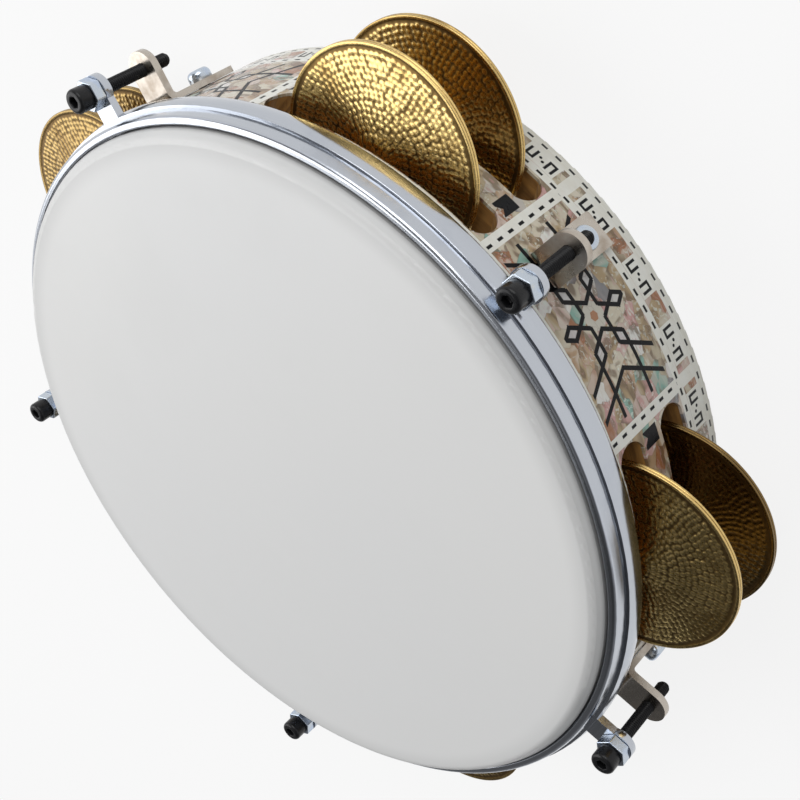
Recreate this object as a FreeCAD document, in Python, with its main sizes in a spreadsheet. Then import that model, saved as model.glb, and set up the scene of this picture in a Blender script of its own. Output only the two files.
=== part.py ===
import FreeCAD, Part
import os
import Sketcher

# A riq: a round frame drum with a stretched film head and five sets of brass jingles.
# The drum's axis is +Z with the head on top. The origin is the centre of the rear rim,
# on the plane that the drum stands on. The jingle sets are centred at 0, 72, 144, ...
# degrees from +X, and a tension bolt stands between each two of them.

Vector = FreeCAD.Vector
Placement = FreeCAD.Placement
Rotation = FreeCAD.Rotation
UP = Vector(0, 0, 1)
SIDE = Vector(0, 1, 0)

# Name, size in millimetres, degrees or pieces, and what it is
SIZES = (
    ("set_count", 5, "jingle sets, and as many tension bolts"),
    ("lug_angle", 44.5, "from a jingle set round to the next bolt"),
    ("shell_radius", 110, "outside of the inlaid shell"),
    ("wall_thick", 10, "wood and inlay together"),
    ("inlay_thick", 0.9, "pearl and ivory skin"),
    ("glue_gap", 0.1, "between wood and skin"),
    ("binding_height", 3, "ivory ring at the rear rim"),
    ("binding_round", 0.8, "rounded edges of the binding"),
    ("rear_bridge", 10.4, "wood between binding and rear slots"),
    ("mid_bridge", 8.8, "wood between the two rows of slots"),
    ("front_bridge", 5.4, "wood between front slots and shoulder"),
    ("jingle_radius", 30, "outside of a jingle"),
    ("jingle_thick", 0.9, "brass sheet"),
    ("rim_width", 2.5, "plain flat rim of a jingle"),
    ("flange_rise", 2.2, "dome between rim and bell"),
    ("bell_radius", 7, "foot of the raised bell"),
    ("bell_rise", 0.9, "height of the bell"),
    ("bell_land", 3, "flat top of the bell"),
    ("jingle_slack", 0.5, "radial play of a jingle on its pin"),
    ("jingle_play", 2.8, "free travel of a closed pair in its slot"),
    ("end_room", 6.5, "slot beyond the jingle at each end"),
    ("slot_bend_share", 0.55, "radius of a slot's end, of the slot's height"),
    ("pin_radius", 1.5, "steel jingle pin"),
    ("pin_fit", 0.05, "radial clearance of the pin in the wood"),
    ("pin_end_gap", 0.3, "beyond each end of the pin"),
    ("pin_rest", 4.4, "pin beyond the front slots"),
    ("pin_chamfer", 0.4, "at both ends of a pin"),
    ("hoop_reach", 1, "from the shell out to the inside of the hoop"),
    ("seat_gap", 1.4, "shoulder to flesh hoop"),
    ("flesh_height", 6, "flesh hoop"),
    ("flesh_floor", 1.2, "below the film's groove"),
    ("flesh_gap", 0.6, "neck to flesh hoop"),
    ("flesh_inner", 0.9, "inner wall of the flesh hoop"),
    ("flesh_outer", 1.6, "outer wall of the flesh hoop"),
    ("flesh_step", 1.2, "inner wall lower than the outer"),
    ("hoop_gap", 0.4, "flesh hoop to tension hoop"),
    ("hoop_wall", 2, "tension hoop at its lower band"),
    ("hoop_lip", 2.2, "thickness over the flesh hoop"),
    ("hoop_height", 11.5, "tension hoop"),
    ("lip_setback", 0.1, "groove to the lip's inner edge"),
    ("lip_round", 0.6, "rounding of the lip"),
    ("lip_width", 2.6, "top of the hoop"),
    ("hoop_round", 1.2, "outer corner of the hoop's top"),
    ("wall_bend", 8, "outward bend of the lower band"),
    ("slope_drop", 3.8, "from the lip down to the ridge's groove"),
    ("ridge_depth", 0.9, "groove above the lower band"),
    ("ridge_height", 0.7, "height of that groove"),
    ("hoop_bevel", 0.6, "rear edge of the hoop"),
    ("film_thick", 0.5, "drum head"),
    ("film_gap", 0.3, "film to the groove's walls and to the hoop"),
    ("film_lift", 2.4, "skirt's end above the groove's floor"),
    ("film_bend", 2, "inside of the film over the bearing edge"),
    ("crest_proud", 3.3, "bearing edge above the hoop"),
    ("collar_run", 1.6, "film's slope from the edge to its skirt"),
    ("crest_width", 2, "flat of the bearing edge"),
    ("crest_gap", 1.4, "bearing edge short of the film's slope"),
    ("neck_gap", 2, "neck's corner below the film's slope"),
    ("crest_bevel", 2.6, "inner bevel of the bearing edge"),
    ("bolt_offset", 8.75, "hoop to the bolt's axis"),
    ("bolt_radius", 2, "M4 shank"),
    ("bolt_tail", 7.2, "bolt beyond its bracket"),
    ("bolt_point", 0.5, "chamfer of the bolt's end"),
    ("thread_fit", 0.06, "radial clearance in the tapped tab"),
    ("head_radius", 3.6, "socket head"),
    ("head_height", 4.6, "socket head"),
    ("head_chamfer", 0.6, "socket head"),
    ("socket_flats", 3, "hexagon socket across flats"),
    ("socket_depth", 2.2, "hexagon socket"),
    ("ear_radius", 4.8, "round end of an ear"),
    ("ear_thick", 2.4, "ear of the hoop"),
    ("ear_rise", 4.4, "ear above the hoop's rear edge"),
    ("ear_neck", 7.6, "width of the ear beside the hoop"),
    ("hole_slack", 0.3, "radial clearance of a bolt in a plain hole"),
    ("collar_flats", 8.4, "hexagonal collar across flats"),
    ("collar_height", 3.4, "hexagonal collar"),
    ("tab_drop", 15.3, "from the ear down to the bracket's tab"),
    ("tab_thick", 2.4, "bracket sheet at the tab"),
    ("tab_radius", 5.4, "round end of the tab, half the bracket's width"),
    ("bend_radius", 1.2, "inside of the bracket's bend"),
    ("foot_thick", 1.9, "bracket sheet at the foot"),
    ("foot_length", 26, "from the tab's top to the foot's end"),
    ("foot_gap", 0.1, "foot to the shell"),
    ("foot_round", 1, "corners of the foot's end"),
    ("screw_rise", 8.6, "screw above the foot's end"),
    ("screw_radius", 2, "M4 shank"),
    ("screw_slack", 0.15, "radial clearance of a screw in its hole"),
    ("pan_radius", 3.6, "pan head"),
    ("pan_height", 3.3, "pan head"),
    ("pan_round", 1.8, "rounded edge of the pan head"),
    ("cross_width", 1, "arm of the cross recess"),
    ("cross_length", 4.2, "across the cross recess"),
    ("cross_depth", 1.5, "cross recess"),
    ("washer_radius", 4.5, "inside the shell"),
    ("washer_thick", 0.8, "inside the shell"),
    ("washer_gap", 0.15, "washer to the curved wall"),
    ("nut_flats", 7, "M4 nut across flats"),
    ("nut_height", 3.2, "M4 nut"),
    ("screw_tail", 1.2, "screw beyond its nut"),
    ("overrun", 5, "how far a cut runs past what it cuts"),
)

# Places worked out from the sizes, each from those above it
PLACES = (
    ("inner_radius", "dims.shell_radius - dims.wall_thick"),
    ("skin_inner", "dims.shell_radius - dims.inlay_thick"),
    ("wood_radius", "skin_inner - dims.glue_gap"),
    ("pin_circle", "dims.shell_radius - dims.wall_thick / 2"),
    ("jingle_height", "dims.flange_rise + dims.bell_rise + dims.jingle_thick"),
    ("flange_foot", "dims.jingle_radius - dims.rim_width"),
    ("flange_run", "flange_foot - dims.bell_radius"),
    ("flange_bend", "(flange_run ^ 2 + dims.flange_rise ^ 2) / (2 * dims.flange_rise)"),
    ("bell_run", "dims.bell_radius - dims.bell_land"),
    ("bell_bend", "(bell_run ^ 2 + dims.bell_rise ^ 2) / (2 * dims.bell_rise)"),
    ("slot_height", "2 * jingle_height + dims.jingle_play"),
    ("slot_bend", "slot_height * dims.slot_bend_share"),
    ("slot_bulge", "slot_bend - sqrt(slot_bend ^ 2 - slot_height ^ 2 / 4)"),
    ("slot_half", "dims.jingle_radius + dims.end_room - slot_bulge"),
    ("rear_floor", "dims.binding_height + dims.rear_bridge"),
    ("front_floor", "rear_floor + slot_height + dims.mid_bridge"),
    ("front_roof", "front_floor + slot_height"),
    ("shoulder", "front_roof + dims.front_bridge"),
    ("pin_foot", "dims.binding_height + dims.pin_end_gap"),
    ("pin_top", "front_roof + dims.pin_rest"),
    ("flesh_bottom", "shoulder + dims.seat_gap"),
    ("flesh_top", "flesh_bottom + dims.flesh_height"),
    ("hoop_inner", "dims.shell_radius + dims.hoop_reach"),
    ("hoop_outer", "hoop_inner + dims.hoop_wall"),
    ("flesh_outside", "hoop_inner - dims.hoop_gap"),
    ("groove_outside", "flesh_outside - dims.flesh_outer"),
    ("skirt_outside", "groove_outside - dims.film_gap"),
    ("skirt_inside", "skirt_outside - dims.film_thick"),
    ("groove_inside", "skirt_inside - dims.film_gap"),
    ("flesh_inside", "groove_inside - dims.flesh_inner"),
    ("neck_radius", "flesh_inside - dims.flesh_gap"),
    ("lip_inside", "groove_outside + dims.lip_setback"),
    ("lip_outside", "lip_inside + dims.lip_width"),
    ("hoop_top", "flesh_top + dims.hoop_lip"),
    ("hoop_bottom", "hoop_top - dims.hoop_height"),
    ("ridge_top", "hoop_top - dims.slope_drop"),
    ("ridge_bottom", "ridge_top - dims.ridge_height"),
    ("shell_top", "hoop_top + dims.crest_proud"),
    ("film_top", "shell_top + dims.film_thick"),
    ("film_edge", "skirt_inside - dims.collar_run"),
    ("slope_end", "hoop_top + dims.film_gap"),
    ("slope_rate", "(shell_top - slope_end) / dims.collar_run"),
    ("slope_skew", "dims.film_thick * (sqrt(1 + slope_rate ^ 2) - slope_rate)"),
    ("edge_skew", "dims.film_thick * (sqrt(1 + slope_rate ^ 2) - 1) / slope_rate"),
    ("skirt_bottom", "flesh_bottom + dims.flesh_floor + dims.film_lift"),
    ("crest_outside", "film_edge - dims.crest_gap"),
    ("crest_inside", "crest_outside - dims.crest_width"),
    ("neck_top", "slope_end + (skirt_inside - neck_radius) * slope_rate - dims.neck_gap"),
    ("bolt_circle", "hoop_outer + dims.bolt_offset"),
    ("ear_bottom", "hoop_bottom + dims.ear_rise"),
    ("ear_top", "ear_bottom + dims.ear_thick"),
    ("collar_top", "ear_top + dims.collar_height"),
    ("head_top", "collar_top + dims.head_height"),
    ("tab_top", "ear_bottom - dims.tab_drop"),
    ("tab_bottom", "tab_top - dims.tab_thick"),
    ("bolt_end", "tab_bottom - dims.bolt_tail"),
    ("foot_inside", "dims.shell_radius + dims.foot_gap"),
    ("foot_outside", "foot_inside + dims.foot_thick"),
    ("foot_end", "tab_top - dims.foot_length"),
    ("bend_outer", "dims.bend_radius + dims.foot_thick"),
    ("screw_height", "foot_end + dims.screw_rise"),
    ("pan_top", "foot_outside + dims.pan_height"),
    ("washer_outside", "inner_radius - dims.washer_gap"),
    ("nut_outside", "washer_outside - dims.washer_thick"),
    ("nut_inside", "nut_outside - dims.nut_height"),
    ("screw_end", "nut_inside - dims.screw_tail"),
    ("screw_hole", "dims.screw_radius + dims.screw_slack"),
    ("bolt_hole", "dims.bolt_radius + dims.hole_slack"),
    ("cut_reach", "hoop_outer + dims.overrun"),
)

doc = FreeCAD.newDocument("riq")


def fill_sheet(name, rows):
    """Make a sheet in which each row's cell has its own name."""
    sheet = doc.addObject("Spreadsheet::Sheet", name)
    for number, (alias, text, note) in enumerate(rows, 1):
        sheet.set(f"A{number}", note)
        sheet.set(f"B{number}", text)
        sheet.setAlias(f"B{number}", alias)
    doc.recompute()
    return sheet


dims = fill_sheet("dims", [(alias, str(size), note) for alias, size, note in SIZES])
places = fill_sheet("places", [(alias, f"={rule}", alias.replace("_", " ")) for alias, rule in PLACES])


def value(rule):
    """What a rule in the sheets' names comes to, as a plain number."""
    return float(places.evalExpression(rule))


def new_body(name, turn="0", out=None):
    """An empty body turned about the drum's axis, and moved out along its own radius."""
    body = doc.addObject("PartDesign::Body", name)
    body.Label = name
    body.Placement = Placement(Vector(), Rotation(UP, 1))
    body.setExpression("Placement.Rotation.Angle", turn)
    if out:
        body.setExpression("Placement.Base.x", f"{out} * cos({turn})")
        body.setExpression("Placement.Base.y", f"{out} * sin({turn})")
    return body


def new_sketch(body, role, offset="0", turn=None):
    """A sketch on one of the body's origin planes, moved along the plane's normal."""
    sketch = body.newObject("Sketcher::SketchObject", f"{body.Name}_sketch")
    plane = next(part for part in body.Origin.OriginFeatures if part.Role == role)
    sketch.AttachmentSupport = [(plane, "")]
    sketch.MapMode = "FlatFace"
    if turn:
        sketch.AttachmentOffset = Placement(Vector(), Rotation(SIDE, 1))
        sketch.setExpression("AttachmentOffset.Rotation.Angle", turn)
    sketch.setExpression("AttachmentOffset.Base.z", offset)
    return sketch


def bind_point(sketch, edge, end, across, up):
    """Tie one end or centre of an edge to the two rules of its place."""
    for kind, rule in (("DistanceX", across), ("DistanceY", up)):
        number = sketch.addConstraint(Sketcher.Constraint(kind, -1, 1, edge, end, value(rule)))
        sketch.setExpression(f"Constraints[{number}]", rule)


def add_circle(sketch, across, up, radius):
    """A circle whose centre and radius follow their rules."""
    centre = Vector(value(across), value(up), 0)
    edge = sketch.addGeometry(Part.Circle(centre, UP, value(radius)))
    bind_point(sketch, edge, 3, across, up)
    number = sketch.addConstraint(Sketcher.Constraint("Radius", edge, value(radius)))
    sketch.setExpression(f"Constraints[{number}]", radius)


def arc_between(start, finish, radius):
    """The minor arc from start to finish that bends to the left."""
    chord = finish - start
    middle = (start + finish) / 2
    outward = Vector(chord.y, -chord.x, 0).normalize()
    rise = radius - (radius ** 2 - chord.Length ** 2 / 4) ** 0.5
    return Part.Arc(start, middle + outward * rise, finish)


def add_outline(sketch, corners):
    """A closed outline. A corner is its two rules, and for an arc that arrives there,
    the arc's radius and the side to which it bends."""
    points = [Vector(value(corner[0]), value(corner[1]), 0) for corner in corners]
    ends = []
    for number, corner in enumerate(corners):
        start, finish = points[number - 1], points[number]
        if len(corner) == 2:
            edge = sketch.addGeometry(Part.LineSegment(start, finish))
            ends.append((edge, 1, 2))
        elif corner[3] == "left":
            edge = sketch.addGeometry(arc_between(start, finish, value(corner[2])))
            ends.append((edge, 1, 2))
        else:
            edge = sketch.addGeometry(arc_between(finish, start, value(corner[2])))
            ends.append((edge, 2, 1))
    for number, corner in enumerate(corners):
        edge, _, last = ends[number]
        follower, first, _ = ends[(number + 1) % len(ends)]
        sketch.addConstraint(Sketcher.Constraint("Coincident", edge, last, follower, first))
        bind_point(sketch, edge, last, corner[0], corner[1])
        if len(corner) > 2:
            radius = sketch.addConstraint(Sketcher.Constraint("Radius", edge, value(corner[2])))
            sketch.setExpression(f"Constraints[{radius}]", corner[2])


def add_hexagon(sketch, flats, across="0", up="0"):
    """A hexagon of the given width across its flats."""
    reach = f"{flats} / (2 * cos(30))"
    corners = [(f"{across} + {reach} * cos({angle})", f"{up} + {reach} * sin({angle})")
               for angle in range(0, 360, 60)]
    add_outline(sketch, corners)


def revolve(body, corners):
    """Turn a closed outline of radius and height once about the body's own Z axis."""
    sketch = new_sketch(body, "XZ_Plane")
    add_outline(sketch, corners)
    feature = body.newObject("PartDesign::Revolution", f"{body.Name}_turned")
    feature.Profile = sketch
    feature.ReferenceAxis = (sketch, ["V_Axis"])
    feature.Angle = 360
    return feature


def pad(body, sketch, length, midplane=False):
    """Add material from a sketch along its plane's normal."""
    feature = body.newObject("PartDesign::Pad", f"{body.Name}_pad")
    feature.Profile = sketch
    feature.Midplane = midplane
    feature.setExpression("Length", length)
    return feature


def pocket(body, sketch, length, along_normal=True):
    """Cut a sketch into the body, along its plane's normal or against it."""
    feature = body.newObject("PartDesign::Pocket", f"{body.Name}_pocket")
    feature.Profile = sketch
    feature.Reversed = along_normal
    feature.setExpression("Length", length)
    return feature


def repeat_round(body, features):
    """Repeat features once for each jingle set."""
    pattern = body.newObject("PartDesign::PolarPattern", f"{body.Name}_pattern")
    pattern.Originals = features
    axis = next(part for part in body.Origin.OriginFeatures if part.Role == "Z_Axis")
    pattern.Axis = (axis, [""])
    pattern.Angle = 360
    pattern.setExpression("Occurrences", "dims.set_count")
    body.Tip = pattern
    return pattern


def round_edges(body, base, radius, chosen):
    """Fillet the edges of the base whose middle the test chooses."""
    doc.recompute()
    names = [f"Edge{number}" for number, edge in enumerate(base.Shape.Edges, 1) if chosen(edge)]
    if not names:
        raise RuntimeError(f"{body.Label}: no edge to round")
    feature = body.newObject("PartDesign::Fillet", f"{body.Name}_fillet")
    feature.Base = (base, names)
    feature.setExpression("Radius", radius)
    body.Tip = feature
    return feature


def slot_pocket(body):
    """The rear and the front slot of one jingle set, cut outward through the wall."""
    sketch = new_sketch(body, "YZ_Plane")
    for floor in ("places.rear_floor", "places.front_floor"):
        roof = f"{floor} + places.slot_height"
        add_outline(sketch, [
            ("-places.slot_half", floor, "places.slot_bend", "left"),
            ("places.slot_half", floor),
            ("places.slot_half", roof, "places.slot_bend", "left"),
            ("-places.slot_half", roof),
        ])
    return pocket(body, sketch, "places.cut_reach")


def screw_pocket(body):
    """The hole of one bracket's screw."""
    sketch = new_sketch(body, "YZ_Plane", turn="dims.lug_angle")
    add_circle(sketch, "0", "places.screw_height", "places.screw_hole")
    return pocket(body, sketch, "places.cut_reach")


def make_shell():
    """The wooden ring with its slots, pin holes, screw holes, shoulder and bearing edge."""
    body = new_body("shell")
    revolve(body, [
        ("places.inner_radius", "dims.binding_height"),
        ("places.wood_radius", "dims.binding_height"),
        ("places.wood_radius", "places.shoulder"),
        ("places.neck_radius", "places.shoulder"),
        ("places.neck_radius", "places.neck_top"),
        ("places.crest_outside", "places.shell_top"),
        ("places.crest_inside", "places.shell_top"),
        ("places.inner_radius", "places.shell_top - dims.crest_bevel"),
    ])
    slots = slot_pocket(body)
    pin_sketch = new_sketch(body, "XY_Plane")
    add_circle(pin_sketch, "places.pin_circle", "0", "dims.pin_radius + dims.pin_fit")
    pins = pocket(body, pin_sketch, "places.pin_top + dims.pin_end_gap")
    repeat_round(body, [slots, pins, screw_pocket(body)])
    return body


def make_skin():
    """The inlaid outer skin, cut through at the slots and screws."""
    body = new_body("inlay_skin")
    revolve(body, [
        ("places.skin_inner", "dims.binding_height"),
        ("dims.shell_radius", "dims.binding_height"),
        ("dims.shell_radius", "places.shoulder"),
        ("places.skin_inner", "places.shoulder"),
    ])
    repeat_round(body, [slot_pocket(body), screw_pocket(body)])
    return body


def make_binding():
    """The plain ring on which the drum stands."""
    body = new_body("rear_binding")
    revolve(body, [
        ("places.inner_radius + dims.binding_round", "0", "dims.binding_round", "left"),
        ("dims.shell_radius - dims.binding_round", "0"),
        ("dims.shell_radius", "dims.binding_round", "dims.binding_round", "left"),
        ("dims.shell_radius", "dims.binding_height"),
        ("places.inner_radius", "dims.binding_height"),
        ("places.inner_radius", "dims.binding_round"),
    ])
    return body


def make_head():
    """The film: a flat disc, a collar that slopes down and a skirt in the flesh hoop."""
    body = new_body("drum_head")
    film = revolve(body, [
        ("0", "places.shell_top"),
        ("places.film_edge", "places.shell_top"),
        ("places.skirt_inside", "places.slope_end"),
        ("places.skirt_inside", "places.skirt_bottom"),
        ("places.skirt_outside", "places.skirt_bottom"),
        ("places.skirt_outside", "places.slope_end + places.slope_skew"),
        ("places.film_edge + places.edge_skew", "places.film_top"),
        ("0", "places.film_top"),
    ])
    top = value("places.film_top")
    outer = round_edges(body, film, "dims.film_bend + dims.film_thick",
                        lambda edge: ring_at(edge, top))
    under = value("places.shell_top")
    round_edges(body, outer, "dims.film_bend", lambda edge: ring_at(edge, under))
    return body


def ring_at(edge, height):
    """Whether an edge is a full circle at a height."""
    box = edge.BoundBox
    return box.ZLength < value("dims.glue_gap") and abs(box.ZMin - height) < value("dims.glue_gap")


def make_flesh_hoop():
    """The channel that grips the film's skirt."""
    body = new_body("flesh_hoop")
    floor = "places.flesh_bottom + dims.flesh_floor"
    revolve(body, [
        ("places.flesh_inside", "places.flesh_bottom"),
        ("places.flesh_outside", "places.flesh_bottom"),
        ("places.flesh_outside", "places.flesh_top"),
        ("places.groove_outside", "places.flesh_top"),
        ("places.groove_outside", floor),
        ("places.groove_inside", floor),
        ("places.groove_inside", "places.flesh_top - dims.flesh_step"),
        ("places.flesh_inside", "places.flesh_top - dims.flesh_step"),
    ])
    return body


def make_tension_hoop():
    """The ridged hoop with one ear for each bolt."""
    body = new_body("tension_hoop", "dims.lug_angle")
    revolve(body, [
        ("places.hoop_inner", "places.hoop_bottom"),
        ("places.hoop_outer - dims.hoop_bevel", "places.hoop_bottom"),
        ("places.hoop_outer", "places.hoop_bottom + dims.hoop_bevel"),
        ("places.hoop_outer", "places.ridge_bottom", "dims.wall_bend", "left"),
        ("places.hoop_outer - dims.ridge_depth", "places.ridge_bottom"),
        ("places.hoop_outer - dims.ridge_depth", "places.ridge_top"),
        ("places.lip_outside", "places.hoop_top - dims.hoop_round"),
        ("places.lip_outside - dims.hoop_round", "places.hoop_top", "dims.hoop_round", "left"),
        ("places.lip_inside + dims.lip_round", "places.hoop_top"),
        ("places.lip_inside", "places.hoop_top - dims.lip_round", "dims.lip_round", "left"),
        ("places.lip_inside", "places.flesh_top"),
        ("places.hoop_inner", "places.flesh_top"),
    ])
    neck_sketch = new_sketch(body, "XY_Plane", "places.ear_bottom")
    root = "places.hoop_inner + dims.hoop_wall / 2"
    add_outline(neck_sketch, [
        (root, "-dims.ear_neck / 2"),
        ("places.bolt_circle", "-dims.ear_neck / 2"),
        ("places.bolt_circle", "dims.ear_neck / 2"),
        (root, "dims.ear_neck / 2"),
    ])
    neck = pad(body, neck_sketch, "dims.ear_thick")
    end_sketch = new_sketch(body, "XY_Plane", "places.ear_bottom")
    add_circle(end_sketch, "places.bolt_circle", "0", "dims.ear_radius")
    end = pad(body, end_sketch, "dims.ear_thick")
    hole_sketch = new_sketch(body, "XY_Plane", "places.ear_bottom - dims.overrun")
    add_circle(hole_sketch, "places.bolt_circle", "0", "places.bolt_hole")
    hole = pocket(body, hole_sketch, "dims.ear_thick + 2 * dims.overrun")
    repeat_round(body, [neck, end, hole])
    return body


def make_collars():
    """The hexagonal collars between the bolt heads and the ears."""
    body = new_body("collar_nuts", "dims.lug_angle")
    body.AllowCompound = True
    sketch = new_sketch(body, "XY_Plane", "places.ear_top")
    add_hexagon(sketch, "dims.collar_flats", "places.bolt_circle")
    add_circle(sketch, "places.bolt_circle", "0", "places.bolt_hole")
    repeat_round(body, [pad(body, sketch, "dims.collar_height")])
    return body


def make_bolt(number, turn):
    """A socket-head bolt, with its head on the collar and its end in the bracket's tab."""
    body = new_body(f"tension_bolt_{number}", turn, "places.bolt_circle")
    revolve(body, [
        ("0", "places.bolt_end"),
        ("dims.bolt_radius - dims.bolt_point", "places.bolt_end"),
        ("dims.bolt_radius", "places.bolt_end + dims.bolt_point"),
        ("dims.bolt_radius", "places.collar_top"),
        ("dims.head_radius", "places.collar_top"),
        ("dims.head_radius", "places.head_top - dims.head_chamfer"),
        ("dims.head_radius - dims.head_chamfer", "places.head_top"),
        ("0", "places.head_top"),
    ])
    sketch = new_sketch(body, "XY_Plane", "places.head_top")
    add_hexagon(sketch, "dims.socket_flats")
    pocket(body, sketch, "dims.socket_depth", along_normal=False)
    return body


def make_bracket(number, turn):
    """A bent bracket: a foot along the shell and a tapped tab with a round end."""
    body = new_body(f"bracket_{number}", turn)
    side = new_sketch(body, "XZ_Plane")
    add_outline(side, [
        ("places.bolt_circle", "places.tab_top"),
        ("places.foot_inside + places.bend_outer", "places.tab_top"),
        ("places.foot_inside", "places.tab_top - places.bend_outer", "places.bend_outer", "left"),
        ("places.foot_inside", "places.foot_end"),
        ("places.foot_outside", "places.foot_end"),
        ("places.foot_outside", "places.tab_bottom - dims.bend_radius"),
        ("places.foot_outside + dims.bend_radius", "places.tab_bottom", "dims.bend_radius", "right"),
        ("places.bolt_circle", "places.tab_bottom"),
    ])
    pad(body, side, "2 * dims.tab_radius", midplane=True)
    end_sketch = new_sketch(body, "XY_Plane", "places.tab_bottom")
    add_circle(end_sketch, "places.bolt_circle", "0", "dims.tab_radius")
    pad(body, end_sketch, "dims.tab_thick")
    bolt_sketch = new_sketch(body, "XY_Plane", "places.tab_bottom - dims.overrun")
    add_circle(bolt_sketch, "places.bolt_circle", "0", "dims.bolt_radius + dims.thread_fit")
    pocket(body, bolt_sketch, "dims.tab_thick + 2 * dims.overrun")
    screw_sketch = new_sketch(body, "YZ_Plane")
    add_circle(screw_sketch, "0", "places.screw_height", "places.screw_hole")
    drilled = pocket(body, screw_sketch, "places.cut_reach")
    end = value("places.foot_end")
    near = value("dims.foot_round")

    def at_foot_end(edge):
        box = edge.BoundBox
        flat = max(box.YLength, box.ZLength) < near < box.XLength
        return flat and abs(box.ZMin - end) < near

    round_edges(body, drilled, "dims.foot_round", at_foot_end)
    return body


def make_screws():
    """The pan-head screws through the brackets' feet, the skin and the wood."""
    body = new_body("bracket_screws", "dims.lug_angle")
    body.AllowCompound = True
    sketch = new_sketch(body, "XZ_Plane")
    height = "places.screw_height"
    add_outline(sketch, [
        ("places.screw_end", height),
        ("places.pan_top", height),
        ("places.pan_top", f"{height} + dims.pan_radius - dims.pan_round"),
        ("places.pan_top - dims.pan_round", f"{height} + dims.pan_radius", "dims.pan_round", "left"),
        ("places.foot_outside", f"{height} + dims.pan_radius"),
        ("places.foot_outside", f"{height} + dims.screw_radius"),
        ("places.screw_end", f"{height} + dims.screw_radius"),
    ])
    turned = body.newObject("PartDesign::Revolution", "bracket_screws_turned")
    turned.Profile = sketch
    turned.ReferenceAxis = (sketch, ["Edge2"])
    turned.Angle = 360
    cross = new_sketch(body, "YZ_Plane", "places.pan_top")
    arm = "dims.cross_width / 2"
    tip = "dims.cross_length / 2"
    add_outline(cross, [
        (f"-{tip}", f"{height} - {arm}"),
        (f"-{arm}", f"{height} - {arm}"),
        (f"-{arm}", f"{height} - {tip}"),
        (arm, f"{height} - {tip}"),
        (arm, f"{height} - {arm}"),
        (tip, f"{height} - {arm}"),
        (tip, f"{height} + {arm}"),
        (arm, f"{height} + {arm}"),
        (arm, f"{height} + {tip}"),
        (f"-{arm}", f"{height} + {tip}"),
        (f"-{arm}", f"{height} + {arm}"),
        (f"-{tip}", f"{height} + {arm}"),
    ])
    recess = pocket(body, cross, "dims.cross_depth", along_normal=False)
    repeat_round(body, [turned, recess])
    return body


def make_washers():
    """The washers inside the shell."""
    body = new_body("bracket_washers", "dims.lug_angle")
    body.AllowCompound = True
    sketch = new_sketch(body, "YZ_Plane", "places.nut_outside")
    add_circle(sketch, "0", "places.screw_height", "dims.washer_radius")
    add_circle(sketch, "0", "places.screw_height", "places.screw_hole")
    repeat_round(body, [pad(body, sketch, "dims.washer_thick")])
    return body


def make_nuts():
    """The nuts inside the shell."""
    body = new_body("bracket_nuts", "dims.lug_angle")
    body.AllowCompound = True
    sketch = new_sketch(body, "YZ_Plane", "places.nut_inside")
    add_hexagon(sketch, "dims.nut_flats", up="places.screw_height")
    add_circle(sketch, "0", "places.screw_height", "dims.screw_radius + dims.thread_fit")
    repeat_round(body, [pad(body, sketch, "dims.nut_height")])
    return body


def make_pin(number, turn):
    """The steel pin that one jingle set turns on, from the rear edge through both slots."""
    body = new_body(f"jingle_pin_{number}", turn, "places.pin_circle")
    revolve(body, [
        ("0", "places.pin_foot"),
        ("dims.pin_radius - dims.pin_chamfer", "places.pin_foot"),
        ("dims.pin_radius", "places.pin_foot + dims.pin_chamfer"),
        ("dims.pin_radius", "places.pin_top - dims.pin_chamfer"),
        ("dims.pin_radius - dims.pin_chamfer", "places.pin_top"),
        ("0", "places.pin_top"),
    ])
    return body


def make_jingle(name, turn, floor, upper):
    """One domed brass jingle of a pair that rests, rim on rim, on the slot's floor."""
    body = new_body(name, turn, "places.pin_circle")
    sign = "+" if upper else "-"
    inward, outward = ("left", "right") if upper else ("right", "left")
    rims = f"{floor} + places.jingle_height"
    bell = f"{rims} {sign} (dims.flange_rise + dims.bell_rise)"
    foot = f"{rims} {sign} dims.flange_rise"
    hole = "dims.pin_radius + dims.jingle_slack"
    rim = "places.flange_foot"
    skin = f"{sign} dims.jingle_thick"
    revolve(body, [
        (hole, bell),
        ("dims.bell_land", bell),
        ("dims.bell_radius", foot, "places.bell_bend", outward),
        (rim, rims, "places.flange_bend", outward),
        ("dims.jingle_radius", rims),
        ("dims.jingle_radius", f"{rims} {skin}"),
        (rim, f"{rims} {skin}"),
        ("dims.bell_radius", f"{foot} {skin}", "places.flange_bend", inward),
        ("dims.bell_land", f"{bell} {skin}", "places.bell_bend", inward),
        (hole, f"{bell} {skin}"),
    ])
    return body


def make_parts():
    """Every sub-part of the drum."""
    parts = [make_shell(), make_skin(), make_binding(), make_head()]
    parts += [make_flesh_hoop(), make_tension_hoop(), make_collars()]
    parts += [make_screws(), make_washers(), make_nuts()]
    for number in range(1, int(value("dims.set_count")) + 1):
        set_turn = f"{number - 1} * 360 / dims.set_count"
        lug_turn = f"dims.lug_angle + {set_turn}"
        parts.append(make_bolt(number, lug_turn))
        parts.append(make_bracket(number, lug_turn))
        parts.append(make_pin(number, set_turn))
        for row, floor in (("rear", "places.rear_floor"), ("front", "places.front_floor")):
            for level, upper in (("low", False), ("high", True)):
                name = f"jingle_{number}_{row}_{level}"
                parts.append(make_jingle(name, set_turn, floor, upper))
    return parts


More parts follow.
